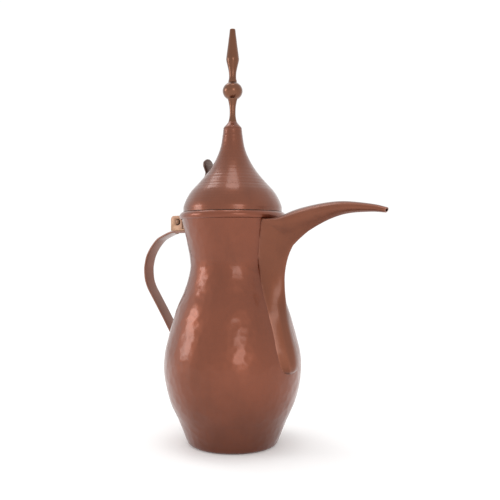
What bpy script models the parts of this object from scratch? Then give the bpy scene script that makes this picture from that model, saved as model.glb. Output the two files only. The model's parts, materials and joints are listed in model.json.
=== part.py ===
"""Dallah coffee pot: a turned copper pot with a beak spout, a strap handle and a hinged, spired lid.

Metres, +Z up. The origin is on the body's axis at the underside of the base plate.
The spout points along +X, the handle along -X, and the lid turns about a pin that lies along Y.
"""
import math

import bmesh
import bpy
import numpy as np
from mathutils import Matrix, Vector

MM = 0.001
GAP = 0.3 * MM

# Driving dimensions of the pot
SEGMENTS = 36
FINE_SEGMENTS = 20
SHEET = 1.1 * MM
BASE_RADIUS = 35.4 * MM
BASE_THICKNESS = 1.5 * MM
NECK_TOP = 182.0 * MM
NECK_TOP_RADIUS = 41.0 * MM
WAIST = 142.0 * MM

# Outer radius and height in mm at the body's knots, from the lip down to the base
BODY_KNOTS = [(41.0, 182.0), (40.8, 178.0), (37.7, 165.2), (34.0, 146.0), (34.5, 135.5), (38.3, 122.1),
              (44.7, 107.0), (50.8, 86.0), (54.3, 70.0), (54.3, 54.0), (50.1, 35.0), (42.8, 18.5),
              (37.0, 4.5), (35.3, 1.8)]

# Rolled mouth ring that caps the neck and carries the lid: outer radius and height of its lip in mm
COLLAR_LIP = [(39.9, 183.6), (40.9, 183.1), (41.8, 182.1), (42.3, 180.7), (42.2, 179.2), (41.85, 178.3),
              (41.35, 177.8)]
MOUTH_RADIUS = 37.6 * MM

# Lid cone: outer radius and height in mm at its knots, from the finial seat down to the lip
LID_KNOTS = [(7.3, 250.5), (8.1, 245.0), (9.7, 235.6), (13.4, 226.0), (19.2, 216.4), (27.0, 207.0),
             (33.0, 200.4), (36.8, 194.2), (39.1, 188.4), (39.35, 183.9)]
LID_BORE = 1.5 * MM
SLEEVE_RADIUS = 35.6 * MM
SLEEVE_SHEET = 0.8 * MM
SLEEVE_BOTTOM = 174.0 * MM
SLEEVE_TOP = 187.0 * MM

# Hinge: pin axis, and the plates around it
HINGE_X = -55.4 * MM
HINGE_Z = 177.2 * MM
PIN_RADIUS = 1.4 * MM
PIN_END_RADIUS = 2.1 * MM
CHEEK_HOLE_RADIUS = 2.9 * MM
CHEEK_HOLE_SHIFT = 0.45 * MM
KNUCKLE_RADIUS = 3.1 * MM
KNUCKLE_HALF = 3.2 * MM
CHEEK_INNER = 3.5 * MM
CHEEK_OUTER = 4.8 * MM
CLEVIS_FLOOR = 1.3 * MM
CLEVIS_DEPTH = 7.1 * MM
LEAF_THICKNESS = 1.3 * MM
LEVER_THICKNESS = 1.5 * MM
RIVET_RADIUS = 1.2 * MM

# Handle strap
STRAP_HALF_WIDTH = 5.5 * MM
STRAP_THICKNESS = 1.8 * MM

# Finial stack on its tie rod
ROD_RADIUS = 1.1 * MM
FINIAL_BORE = 1.4 * MM


def clear_scene():
    """Remove every object, so that the script starts from nothing."""
    for obj in list(bpy.data.objects):
        bpy.data.objects.remove(obj, do_unlink=True)


def make_collection(name):
    collection = bpy.data.collections.new(name)
    bpy.context.scene.collection.children.link(collection)
    return collection


clear_scene()
PARTS = make_collection("dallah_coffee_pot")
CUTTERS = make_collection("cutters")


def make_material(name, color, roughness, metallic=1.0):
    material = bpy.data.materials.new(name)
    material.use_nodes = True
    shader = material.node_tree.nodes["Principled BSDF"]
    shader.inputs["Base Color"].default_value = (*color, 1.0)
    shader.inputs["Roughness"].default_value = roughness
    shader.inputs["Metallic"].default_value = metallic
    material.diffuse_color = (*color, 1.0)
    return material


BODY_COPPER = ((0.33, 0.12, 0.075), 0.42)
LID_COPPER = ((0.32, 0.12, 0.075), 0.40)
SPOUT_COPPER = ((0.34, 0.125, 0.075), 0.38)
HANDLE_COPPER = ((0.36, 0.15, 0.095), 0.36)
HINGE_COPPER = ((0.58, 0.28, 0.17), 0.34)
FINIAL_COPPER = ((0.36, 0.16, 0.10), 0.36)
DARK_COPPER = ((0.11, 0.055, 0.038), 0.45)
TINNED = ((0.52, 0.47, 0.42), 0.40)
STEEL = ((0.45, 0.44, 0.42), 0.38)


def spline(points, steps):
    """Points along the Catmull-Rom curve through the given points, steps to a span."""
    knots = [np.array(point, float) for point in points]
    knots = [2 * knots[0] - knots[1]] + knots + [2 * knots[-1] - knots[-2]]
    curve = []
    for a, b, c, d in zip(knots, knots[1:], knots[2:], knots[3:]):
        for step in range(steps):
            t = step / steps
            curve.append(0.5 * (2 * b + (c - a) * t + (2 * a - 5 * b + 4 * c - d) * t ** 2
                                + (3 * b - a - 3 * c + d) * t ** 3))
    curve.append(knots[-2])
    return curve


def in_metres(points):
    return [tuple(value * MM for value in point) for point in points]


BODY_PROFILE = in_metres(spline(BODY_KNOTS, 2))
LID_PROFILE = in_metres(spline(LID_KNOTS, 2))


def radius_at(profile, z):
    """Outer radius of a turned profile at a height."""
    rising = sorted((point[1], point[0]) for point in profile)
    return float(np.interp(z, [p[0] for p in rising], [p[1] for p in rising]))


def outward_at(profile, z):
    """Unit (radial, upward) normal of a turned profile at a height."""
    step = 2 * MM
    slope = (radius_at(profile, z + step) - radius_at(profile, z - step)) / (2 * step)
    length = math.hypot(1, slope)
    return 1 / length, -slope / length


def new_object(name, mesh, look=None, collection=PARTS):
    obj = bpy.data.objects.new(name, mesh)
    collection.objects.link(obj)
    if look:
        color, roughness = look
        mesh.materials.append(make_material(name + "_copper", color, roughness))
    if collection is CUTTERS:
        obj.hide_render = True
        obj.display_type = "WIRE"
    return obj


def add_screw(obj, segments):
    screw = obj.modifiers.new("turn", "SCREW")
    screw.angle = 2 * math.pi
    screw.steps = segments
    screw.render_steps = segments
    screw.use_merge_vertices = True
    screw.merge_threshold = 0.00001
    screw.use_smooth_shade = True
    return screw


def turned(name, profile, look=None, closed=False, segments=SEGMENTS, wall=0.0, collection=PARTS):
    """A body turned about Z: the profile runs down its outer side. wall thickens an open profile inward."""
    mesh = bpy.data.meshes.new(name)
    edges = [(i, i + 1) for i in range(len(profile) - 1)]
    if closed:
        edges.append((len(profile) - 1, 0))
    mesh.from_pydata([(r, 0, z) for r, z in profile], edges, [])
    obj = new_object(name, mesh, look, collection)
    add_screw(obj, segments)
    if wall:
        add_solidify(obj, wall)
    return obj


def add_solidify(obj, thickness, offset=-1.0):
    solidify = obj.modifiers.new("sheet", "SOLIDIFY")
    solidify.thickness = thickness
    solidify.offset = offset
    solidify.use_even_offset = True


def cut(obj, *cutters):
    for cutter in cutters:
        boolean = obj.modifiers.new("cut", "BOOLEAN")
        boolean.operation = "DIFFERENCE"
        boolean.solver = "EXACT"
        boolean.object = cutter


def join(obj, addition):
    boolean = obj.modifiers.new("join", "BOOLEAN")
    boolean.operation = "UNION"
    boolean.solver = "EXACT"
    boolean.object = addition


def box_mesh(name, low, high):
    builder = bmesh.new()
    bmesh.ops.create_cube(builder, size=1.0)
    size = [b - a for a, b in zip(low, high)]
    centre = [(a + b) / 2 for a, b in zip(low, high)]
    bmesh.ops.scale(builder, vec=size, verts=builder.verts)
    bmesh.ops.translate(builder, vec=centre, verts=builder.verts)
    mesh = bpy.data.meshes.new(name)
    builder.to_mesh(mesh)
    builder.free()
    return mesh


def rod_cutter(name, centre, direction, radius, length, segments=16):
    """A cylinder cutter centred on a point, along a direction."""
    builder = bmesh.new()
    bmesh.ops.create_cone(builder, cap_ends=True, segments=segments, radius1=radius, radius2=radius,
                          depth=length)
    mesh = bpy.data.meshes.new(name)
    builder.to_mesh(mesh)
    builder.free()
    cutter = new_object(name, mesh, collection=CUTTERS)
    cutter.location = centre
    cutter.rotation_mode = "QUATERNION"
    cutter.rotation_quaternion = Vector(direction).to_track_quat("Z", "Y")
    return cutter


def loft(name, rings, look=None, collection=PARTS):
    """A closed solid through rings of equal point counts, capped at both ends."""
    builder = bmesh.new()
    loops = [[builder.verts.new(point) for point in ring] for ring in rings]
    count = len(loops[0])
    for lower, upper in zip(loops, loops[1:]):
        for i in range(count):
            j = (i + 1) % count
            builder.faces.new((lower[i], lower[j], upper[j], upper[i]))
    builder.faces.new(reversed(loops[0]))
    builder.faces.new(loops[-1])
    bmesh.ops.recalc_face_normals(builder, faces=builder.faces)
    mesh = bpy.data.meshes.new(name)
    builder.to_mesh(mesh)
    builder.free()
    mesh.shade_smooth()
    return new_object(name, mesh, look, collection)


def strap(name, path, half_widths, thickness, look):
    """A flat strip along an XZ path, as wide as half_widths says, thickened to the left of the path."""
    builder = bmesh.new()
    rows = []
    for (x, z), half in zip(path, half_widths):
        rows.append([builder.verts.new((x, side * half, z)) for side in (-1, 1)])
    for first, second in zip(rows, rows[1:]):
        builder.faces.new((first[1], first[0], second[0], second[1]))
    mesh = bpy.data.meshes.new(name)
    builder.to_mesh(mesh)
    builder.free()
    obj = new_object(name, mesh, look)
    add_solidify(obj, thickness, offset=1.0)
    return obj


def rivet(name, head_centre, outward, grip, look):
    """A round-headed rivet. head_centre is under the head, and the shank runs grip deep against outward."""
    head = 1.9 * RIVET_RADIUS
    dome = 0.9 * RIVET_RADIUS
    tail = 1.5 * RIVET_RADIUS
    profile = [(head * math.sin(a), dome * math.cos(a)) for a in np.linspace(0, math.pi / 2, 4)]
    profile += [(RIVET_RADIUS, 0), (RIVET_RADIUS, -grip), (tail, -grip),
                (0.8 * tail, -grip - 0.6 * RIVET_RADIUS), (0, -grip - 0.7 * RIVET_RADIUS)]
    obj = turned(name, profile, look, segments=12)
    obj.location = head_centre
    obj.rotation_mode = "QUATERNION"
    obj.rotation_quaternion = Vector(outward).to_track_quat("Z", "Y")
    return obj


def rivet_hole(name, head_centre, outward, depth):
    return rod_cutter(name + "_hole", head_centre, outward, RIVET_RADIUS + GAP, 2 * depth)


# ---------------------------------------------------------------- pot body

def make_body():
    """The raised body in two shells that meet at the waist: the neck, and the belly below it."""
    seam = radius_at(BODY_PROFILE, WAIST)
    neck = [point for point in BODY_PROFILE if point[1] > WAIST + MM] + [(seam, WAIST + GAP / 2)]
    belly = [(seam, WAIST - GAP / 2)] + [point for point in BODY_PROFILE if point[1] < WAIST - MM]
    shells = (turned("neck_shell", neck, BODY_COPPER, wall=SHEET),
              turned("belly_shell", belly, BODY_COPPER, wall=SHEET))
    hole = make_pour_hole()
    for shell in shells:
        cut(shell, hole)
    return shells


def make_pour_hole():
    """An upright rounded slot through the neck wall, inside the spout's root."""
    half_width, low, high = 6.0 * MM, 126 * MM, 164 * MM
    corner = bmesh.new()
    bmesh.ops.create_circle(corner, cap_ends=True, segments=16, radius=half_width)
    for vert in corner.verts:
        y, rise = vert.co.x, vert.co.y
        end = high - half_width if rise > 0 else low + half_width
        vert.co = Vector((20 * MM, y, end + rise))
    side = bmesh.ops.extrude_face_region(corner, geom=corner.faces[:])
    moved = [item for item in side["geom"] if isinstance(item, bmesh.types.BMVert)]
    bmesh.ops.translate(corner, vec=(40 * MM, 0, 0), verts=moved)
    bmesh.ops.recalc_face_normals(corner, faces=corner.faces)
    mesh = bpy.data.meshes.new("pour_hole")
    corner.to_mesh(mesh)
    corner.free()
    return new_object("pour_hole", mesh, collection=CUTTERS)


def make_base_plate():
    edge = 0.6 * MM
    profile = [(0, BASE_THICKNESS), (BASE_RADIUS - edge / 2, BASE_THICKNESS),
               (BASE_RADIUS, BASE_THICKNESS - edge), (BASE_RADIUS, edge), (BASE_RADIUS - edge, 0), (0, 0)]
    return turned("base_plate", profile, DARK_COPPER)


def make_collar():
    """The mouth ring: a rolled lip outside the neck with a flange turned in over the neck's edge."""
    lip = in_metres(COLLAR_LIP)
    inner = NECK_TOP_RADIUS + GAP
    underside = NECK_TOP + GAP
    profile = lip + [(inner, underside), (MOUTH_RADIUS, underside), (MOUTH_RADIUS, lip[0][1])]
    return turned("mouth_collar", profile, BODY_COPPER, closed=True)


# ---------------------------------------------------------------- spout

SPOUT_WALL = 1.1
TIP_WALL = 0.7
# Overlay on the belly and neck, in mm: height, half width, how far its keel stands off the body, flatness
TONGUE = [(60.3, 2.0, 0.8, 1.0), (61.6, 6.2, 2.6, 1.0), (63.8, 9.0, 3.8, 1.0), (68.0, 11.2, 4.7, 1.0),
          (77.0, 12.5, 5.2, 1.0), (86.0, 12.4, 5.1, 1.0), (97.0, 12.0, 5.2, 1.0), (106.0, 12.0, 6.2, 0.9),
          (115.9, 11.0, 9.6, 0.7), (125.7, 9.8, 12.9, 0.6)]
# Beak, in mm: keel x and z, back x and z, half width, widest place from back to keel,
# front and back powers, and how flat its flanks are
BEAK = [((50.1, 136.0), (27.0, 139.0), 9.2, 0.28, 0.62, 1.3, 0.5),
        ((52.6, 147.2), (27.0, 157.0), 11.0, 0.22, 0.66, 1.0, 0.5),
        ((56.5, 155.5), (31.0, 171.5), 13.0, 0.22, 0.74, 0.8, 0.5),
        ((59.3, 158.6), (36.8, 176.9), 13.8, 0.06, 0.80, 0.5, 0.5),
        ((61.4, 160.4), (41.8, 177.2), 13.4, 0.05, 0.82, 0.4, 0.4),
        ((64.6, 163.0), (48.0, 178.9), 11.8, 0.20, 0.85, 0.7, 0.3),
        ((72.7, 168.5), (61.0, 184.0), 9.0, 0.40, 0.85, 1.2, 0.1),
        ((88.3, 175.6), (81.8, 187.6), 6.6, 0.47, 0.85, 1.3, 0.0),
        ((103.3, 179.4), (100.6, 188.4), 4.9, 0.50, 0.85, 1.3, 0.0),
        ((121.4, 180.0), (122.6, 185.6), 3.4, 0.50, 0.80, 1.3, 0.0),
        ((132.5, 179.1), (133.9, 182.8), 2.5, 0.50, 0.70, 1.3, 0.0)]


def tongue_station(z, half_width, relief, flatness):
    body = radius_at(BODY_PROFILE, z * MM) / MM
    keel = body + relief
    edge = math.sqrt(body ** 2 - half_width ** 2) - 0.3
    back = edge - 6.0
    return (keel, z, back, z, half_width, (edge - back) / (keel - back), 0.72, 1.3, flatness)


def spout_stations():
    """Every station as one row: keel, back, half width, widest fraction, powers, flatness."""
    rows = [tongue_station(*row) for row in TONGUE]
    rows += [(*keel, *back, *shape) for keel, back, *shape in BEAK]
    return rows


def flatten(u, place, share, flatness):
    """Blend a round flank with a bevel under a low crown. u runs from the widest place to the keel."""
    corner = 0.5 + 0.35 * flatness
    if u < 0.6:
        level = (corner * u / 0.6, 1 - 0.45 * u / 0.6)
    else:
        rest = (1 - u) / 0.4
        level = (1 - (1 - corner) * rest ** 1.5, 0.55 * rest)
    return place + (level[0] - place) * flatness, share + (level[1] - share) * flatness


def spout_ring(station, inset=0.0, quarter=5):
    """The section at a station: a loop round from back to keel and home, in the plane through Y."""
    keel_x, keel_z, back_x, back_z, half, widest, power, back_power, flatness = station
    along = Vector((keel_x - back_x, 0, keel_z - back_z))
    length = along.length
    along.normalize()
    ridge = 1 + max(0, power - 0.5)
    back = Vector((back_x, 0, back_z)) + along * inset * ridge
    reach = length - 2 * inset * ridge
    half -= inset
    side = []
    for i in range(2 * quarter + 1):
        angle = math.pi * i / (2 * quarter) - math.pi / 2
        place = math.sin(angle)
        bulge = 2 * power if place > 0 else back_power
        share = abs(math.cos(angle)) ** bulge
        if place > 0:
            place, share = flatten(angle / math.pi * 2, place, share, flatness)
        fraction = widest + (widest if place < 0 else 1 - widest) * place
        side.append((fraction * reach, half * share))
    points = [back + along * a + Vector((0, y, 0)) for a, y in side]
    points += [back + along * a - Vector((0, y, 0)) for a, y in reversed(side[1:-1])]
    return [tuple(point * MM) for point in points]


def make_spout():
    """The hollow beak with its tongue, cut to sit on the body and open at its root and tip."""
    rows = spline(spout_stations(), 2)
    spout = loft("spout", [spout_ring(row) for row in rows], SPOUT_COPPER)
    hollow_rows = [row for row in rows if row[1] > 113]
    walls = np.linspace(SPOUT_WALL, TIP_WALL, len(hollow_rows))
    rings = [spout_ring(row, wall) for row, wall in zip(hollow_rows, walls)]
    tip, before_tip = rings[-1], rings[-2]
    rings.append([tuple(2 * a - b for a, b in zip(*pair)) for pair in zip(tip, before_tip)])
    hollow = loft("spout_hollow", rings, collection=CUTTERS)
    seat = [(r + GAP, z) for r, z in BODY_PROFILE]
    seat = [(0, NECK_TOP)] + seat + [(0, seat[-1][1])]
    body_cutter = turned("spout_seat", seat, collection=CUTTERS)
    lip = [(r + 1.5 * GAP, z) for r, z in in_metres(COLLAR_LIP)]
    above, below = lip[0][1] + 2 * MM, lip[-1][1] - GAP
    clearance = [(0, above), (lip[0][0], above)] + lip + [(lip[-1][0], below), (0, below)]
    collar_cutter = turned("spout_collar_gap", clearance, collection=CUTTERS)
    cut(spout, hollow, body_cutter, collar_cutter)
    return spout


# ---------------------------------------------------------------- handle and hinge

def handle_path():
    """Outer face of the strap, from the neck tab over the top and down to the belly tab, as (x, z)."""
    neck_tab = [(-radius_at(BODY_PROFILE, z * MM) / MM - 0.35, z) for z in (155.0, 159.0, 163.0)]
    sweep = [(-38.6, 166.2), (-40.6, 168.8), (-44.6, 169.5), (-52.0, 169.7), (-59.2, 169.7), (-63.9, 169.2),
             (-73.2, 166.0), (-79.8, 162.7), (-86.9, 155.8), (-91.7, 148.7), (-93.9, 141.8), (-94.6, 136.4),
             (-93.7, 127.8), (-90.7, 120.8), (-85.8, 113.9), (-78.2, 103.7), (-70.6, 93.2), (-64.6, 84.8),
             (-60.7, 79.4), (-58.6, 75.0)]
    belly_tab = [(-radius_at(BODY_PROFILE, z * MM) / MM - 0.4 - STRAP_THICKNESS / MM, z)
                 for z in (70.5, 64.5, 58.0)]
    return in_metres(spline(neck_tab + sweep + belly_tab, 2))


def make_handle():
    path = handle_path()
    return strap("handle_strap", path, [STRAP_HALF_WIDTH] * len(path), STRAP_THICKNESS, HANDLE_COPPER)


def make_clevis():
    """The U-shaped hinge bracket: two cheeks standing on a floor plate that lies on the strap."""
    floor = HINGE_Z - CLEVIS_DEPTH
    left, right, top = HINGE_X - 7.3 * MM, HINGE_X + 3.7 * MM, HINGE_Z + 5.3 * MM
    front = HINGE_X + 9.2 * MM
    arc = 3.2 * MM
    turn = np.linspace(0, math.pi / 2, 5)
    corner = [(left + arc - arc * math.sin(a), top - arc + arc * math.cos(a)) for a in turn]
    round_end = [(right - arc + arc * math.cos(a), top - arc + arc * math.sin(a)) for a in turn]
    outline = [(left, floor), (front, floor), (front, floor + CLEVIS_FLOOR), (right, floor + CLEVIS_FLOOR)]
    outline += round_end + corner
    builder = bmesh.new()
    near = builder.faces.new([builder.verts.new((x, -CHEEK_OUTER, z)) for x, z in outline])
    depth = bmesh.ops.extrude_face_region(builder, geom=[near])
    moved = [item for item in depth["geom"] if isinstance(item, bmesh.types.BMVert)]
    bmesh.ops.translate(builder, vec=(0, 2 * CHEEK_OUTER, 0), verts=moved)
    bmesh.ops.recalc_face_normals(builder, faces=builder.faces)
    mesh = bpy.data.meshes.new("hinge_clevis")
    builder.to_mesh(mesh)
    builder.free()
    clevis = new_object("hinge_clevis", mesh, HINGE_COPPER)
    slot = box_mesh("clevis_slot", (left - MM, -CHEEK_INNER, floor + CLEVIS_FLOOR),
                    (right + MM, CHEEK_INNER, top + MM))
    hole = rod_cutter("clevis_pin_hole", (HINGE_X + CHEEK_HOLE_SHIFT, 0, HINGE_Z - CHEEK_HOLE_SHIFT / 2),
                      (0, 1, 0), CHEEK_HOLE_RADIUS, 20 * MM)
    cut(clevis, new_object("clevis_slot", slot, collection=CUTTERS), hole)
    return clevis


def make_hinge_pin():
    """A straight pin whose ends are peened wide in the cheeks' worn holes."""
    shoulder, end = KNUCKLE_HALF + GAP, CHEEK_OUTER + 0.2 * MM
    dome = [(PIN_END_RADIUS * math.sin(a), 0.6 * MM * math.cos(a)) for a in np.linspace(0, math.pi / 2, 4)]
    upper = [(r, end + h) for r, h in dome] + [(PIN_END_RADIUS, shoulder), (PIN_RADIUS, shoulder)]
    profile = upper + [(r, -h) for r, h in reversed(upper)]
    pin = turned("hinge_pin", profile, HANDLE_COPPER, segments=16)
    pin.location = (HINGE_X, 0, HINGE_Z)
    pin.rotation_euler = (math.radians(-90), 0, 0)
    return pin


def lid_point(z, stand_off):
    """A point on the back of the lid, stood off along its normal, as (x, z) in metres."""
    out, up = outward_at(LID_PROFILE, z)
    return -(radius_at(LID_PROFILE, z) + out * stand_off), z + up * stand_off


def make_leaf():
    """The lid's hinge leaf: a knuckle round the pin and a strip that climbs the back of the lid."""
    start = HINGE_Z + KNUCKLE_RADIUS - LEAF_THICKNESS
    path = [(HINGE_X, start), (HINGE_X + 3.4 * MM, start + 0.5 * MM), (-46.4 * MM, 182.2 * MM),
            (-42.4 * MM, 185.8 * MM)]
    path += [lid_point(z * MM, GAP) for z in (190.5, 193.5, 196.5, 199.5, 202.5)]
    path = [tuple(point) for point in spline(path, 3)]
    halves = [KNUCKLE_HALF if x < HINGE_X + 9.5 * MM else 4.2 * MM for x, z in path]
    leaf = strap("lid_leaf", path, halves, LEAF_THICKNESS, HINGE_COPPER)
    knuckle = rod_cutter("leaf_knuckle", (HINGE_X, 0, HINGE_Z), (0, 1, 0), KNUCKLE_RADIUS, 2 * KNUCKLE_HALF)
    bore = rod_cutter("leaf_bore", (HINGE_X, 0, HINGE_Z), (0, 1, 0), PIN_RADIUS + GAP, 20 * MM)
    join(leaf, knuckle)
    cut(leaf, bore)
    return leaf


def make_lever():
    """The thumb lever: a strip on the leaf that rises clear of the lid into a pointed leaf shape."""
    lap = LEAF_THICKNESS + 2 * GAP
    path = [lid_point(z * MM, lap) for z in (194.0, 197.0, 200.0, 203.5)]
    path += in_metres([(-31.0, 208.4), (-27.6, 212.6), (-25.6, 216.4), (-25.0, 219.6), (-24.9, 222.8),
                       (-24.9, 225.8), (-24.8, 228.0)])
    halves = [value * MM for value in (4.2, 4.2, 4.1, 3.8, 2.8, 1.8, 2.2, 4.2, 5.8, 5.0, 1.6)]
    rows = spline([(*point, half) for point, half in zip(path, halves)], 2)
    return strap("thumb_lever", [(x, z) for x, z, half in rows], [half for x, z, half in rows],
                 LEVER_THICKNESS, DARK_COPPER)


# ---------------------------------------------------------------- lid and finial

def make_lid():
    profile = [(LID_BORE, LID_PROFILE[0][1])] + LID_PROFILE
    return turned("lid_shell", profile, LID_COPPER, wall=SHEET)


def make_sleeve():
    """The short tube inside the lid that drops into the mouth, with a flange for the lid's inner wall."""
    inner = SLEEVE_RADIUS - SLEEVE_SHEET
    flange = LID_PROFILE[-1][0] - SHEET - 2 * GAP
    flange_bottom = SLEEVE_TOP - SLEEVE_SHEET
    profile = [(flange, SLEEVE_TOP), (flange, flange_bottom), (SLEEVE_RADIUS, flange_bottom),
               (SLEEVE_RADIUS, SLEEVE_BOTTOM), (inner, SLEEVE_BOTTOM), (inner, SLEEVE_TOP)]
    return turned("lid_sleeve", profile, TINNED, closed=True)


# Turned finial pieces from the top down: name, look, bore depth from below, outer radius and height in mm
FINIAL = [
    ("finial_spear", FINIAL_COPPER, 8.0,
     [(0, 330.0), (2.0, 330.0), (2.3, 329.4), (3.2, 322.0), (4.5, 312.0), (5.2, 305.8), (4.4, 302.0),
      (3.7, 298.4), (3.2, 295.0), (3.1, 291.0), (3.5, 288.2), (3.5, 287.7)]),
    ("finial_ball", FINIAL_COPPER, None,
     [(2.2, 287.4), (4.6, 286.6), (6.7, 284.6), (7.8, 282.2), (8.0, 280.6), (7.8, 279.0), (6.7, 276.6),
      (4.6, 274.6), (2.2, 273.8)]),
    ("finial_stem", FINIAL_COPPER, None,
     [(3.4, 273.5), (3.1, 271.6), (2.5, 267.5), (2.5, 263.0), (2.8, 259.0), (3.4, 256.0)]),
    ("finial_cap", LID_COPPER, None,
     [(3.5, 255.7), (4.7, 254.1), (6.0, 252.7), (7.4, 251.3), (7.4, 250.8)]),
]


def make_finial():
    pieces = []
    for name, look, blind_depth, outer in FINIAL:
        profile = in_metres(outer)
        bottom = profile[-1][1]
        if blind_depth:
            top = bottom + blind_depth * MM
            profile += [(FINIAL_BORE, bottom), (FINIAL_BORE, top), (0, top)]
            pieces.append(turned(name, profile, look, segments=FINE_SEGMENTS))
        else:
            profile += [(FINIAL_BORE, bottom), (FINIAL_BORE, profile[0][1])]
            pieces.append(turned(name, profile, look, closed=True, segments=FINE_SEGMENTS))
    return pieces


def make_tie_rod():
    profile = [(0, 294.5 * MM), (ROD_RADIUS, 294.5 * MM), (ROD_RADIUS, 243.8 * MM), (0, 243.8 * MM)]
    return turned("finial_tie_rod", profile, STEEL, segments=12)


def make_ring(name, outer, low, high, look, segments):
    profile = [(outer, high), (outer, low), (FINIAL_BORE, low), (FINIAL_BORE, high)]
    return turned(name, profile, look, closed=True, segments=segments)


# ---------------------------------------------------------------- assembly

def fasten(name, centre, outward, grip, look, *sheets):
    """Put a rivet in place, and drill each sheet it passes through."""
    part = rivet(name, centre, outward, grip, look)
    hole = rivet_hole(name, centre, outward, grip + 3 * MM)
    for sheet in sheets:
        cut(sheet, hole)
    return part


def tab_rivets(name, heights, shell, handle):
    """Rivets through a strap tab and the body wall, square to the wall."""
    lift = STRAP_THICKNESS + 3 * GAP
    grip = lift + SHEET + 2 * GAP
    for position, z in zip(("upper", "lower"), heights):
        out, up = outward_at(BODY_PROFILE, z * MM)
        centre = (-(radius_at(BODY_PROFILE, z * MM) + out * lift), 0, z * MM + up * lift)
        fasten(f"{name}_{position}", centre, (-out, 0, up), grip, HANDLE_COPPER, handle, shell)


def clevis_rivets(clevis, handle):
    seat = HINGE_Z - CLEVIS_DEPTH + CLEVIS_FLOOR + GAP
    grip = CLEVIS_FLOOR + STRAP_THICKNESS + 5 * GAP
    for position, x in (("front", HINGE_X + 6.6 * MM), ("rear", HINGE_X - 4.6 * MM)):
        fasten(f"clevis_rivet_{position}", (x, 0, seat), (0, 0, 1), grip, HINGE_COPPER, clevis, handle)


def lid_rivets(lid, leaf, lever):
    """Rivets through the lever, the leaf and the lid's wall, square to the lid."""
    lift = LEAF_THICKNESS + LEVER_THICKNESS + 3.5 * GAP
    grip = lift + SHEET + 1.5 * GAP
    for position, z in (("upper", 201.4 * MM), ("lower", 196.2 * MM)):
        out, up = outward_at(LID_PROFILE, z)
        x, height = lid_point(z, lift)
        centre = (x, 0, height)
        fasten(f"lid_rivet_{position}", centre, (-out, 0, up), grip, HANDLE_COPPER, lid, leaf, lever)


def hang_on_hinge():
    """Parent the lid's pieces to an empty on the hinge axis, without moving them."""
    pivot = bpy.data.objects.new("lid_pivot", None)
    pivot.location = (HINGE_X, 0, HINGE_Z)
    PARTS.objects.link(pivot)
    bpy.context.view_layer.update()
    for obj in PARTS.objects:
        if obj.name.startswith(("lid_", "finial_", "thumb_")) and obj is not pivot:
            obj.parent = pivot
            obj.matrix_parent_inverse = Matrix.Translation(pivot.location).inverted()


def main():
    neck, belly = make_body()
    make_base_plate()
    make_collar()
    make_spout()
    handle = make_handle()
    clevis = make_clevis()
    make_hinge_pin()
    lid = make_lid()
    make_sleeve()
    leaf = make_leaf()
    lever = make_lever()
    make_finial()
    make_tie_rod()
    make_ring("finial_washer", 5.0 * MM, 248.0 * MM, 249.0 * MM, STEEL, 16)
    make_ring("finial_nut", 3.2 * MM, 245.2 * MM, 247.7 * MM, STEEL, 6)
    tab_rivets("neck_rivet", (163.0, 157.6), neck, handle)
    tab_rivets("belly_rivet", (67.8, 62.0), belly, handle)
    clevis_rivets(clevis, handle)
    lid_rivets(lid, leaf, lever)
    hang_on_hinge()


main()
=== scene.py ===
"""Looks of the dallah coffee pot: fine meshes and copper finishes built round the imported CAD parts.

Lengths are in millimetres until a mesh is made, and the frame's are in metres. +Z is up, the spout
points along +X and the lid turns about a pin that lies along Y.
"""
import json
import math

import bmesh
import bpy
import numpy as np
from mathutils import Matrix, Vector
from mathutils.kdtree import KDTree


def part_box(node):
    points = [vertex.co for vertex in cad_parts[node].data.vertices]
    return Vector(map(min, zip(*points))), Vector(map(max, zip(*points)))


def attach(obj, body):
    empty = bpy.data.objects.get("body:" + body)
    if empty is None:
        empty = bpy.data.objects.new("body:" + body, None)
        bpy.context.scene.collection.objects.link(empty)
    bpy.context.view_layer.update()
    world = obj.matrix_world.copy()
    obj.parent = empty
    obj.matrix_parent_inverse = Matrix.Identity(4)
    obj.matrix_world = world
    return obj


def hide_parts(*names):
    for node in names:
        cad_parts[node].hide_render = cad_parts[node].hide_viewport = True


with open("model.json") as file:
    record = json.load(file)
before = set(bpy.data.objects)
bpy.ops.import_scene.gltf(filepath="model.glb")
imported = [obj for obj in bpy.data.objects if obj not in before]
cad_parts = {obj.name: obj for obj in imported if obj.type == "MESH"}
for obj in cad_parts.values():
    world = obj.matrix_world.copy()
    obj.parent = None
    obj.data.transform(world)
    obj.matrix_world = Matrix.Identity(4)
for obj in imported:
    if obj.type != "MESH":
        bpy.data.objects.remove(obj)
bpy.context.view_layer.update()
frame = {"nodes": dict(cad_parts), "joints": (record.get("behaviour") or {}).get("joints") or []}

MM = 0.001
MERGE_DISTANCE = 0.000002

HINGE_X, _, HINGE_Z = [value / MM for value in frame["joints"][0]["pos_m"]]


def top_of(node):
    """Height of a CAD node's top, in mm, as bottom_of gives its bottom."""
    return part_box(node)[1].z / MM


def bottom_of(node):
    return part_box(node)[0].z / MM


def half_width_of(node):
    """How far a CAD node reaches from the pot's middle plane, in mm."""
    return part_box(node)[1].y / MM


# ---------------------------------------------------------------- shared outlines, in mm

# Thickness of the raised sheet, and the gap left where pieces touch
SHEET = 1.1
TOUCH = 0.05
# Outer radius and height of the body from the lip to the base
BODY_KNOTS = [(41.0, 182.0), (40.8, 178.0), (37.7, 165.2), (34.0, 146.0), (34.5, 135.5), (38.3, 122.1),
              (44.7, 107.0), (50.8, 86.0), (54.3, 70.0), (54.3, 54.0), (50.1, 35.0), (42.8, 18.5),
              (38.4, 7.6), (36.9, 3.8), (35.9, 1.6), (34.8, 0.55), (33.4, 0.1)]
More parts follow.
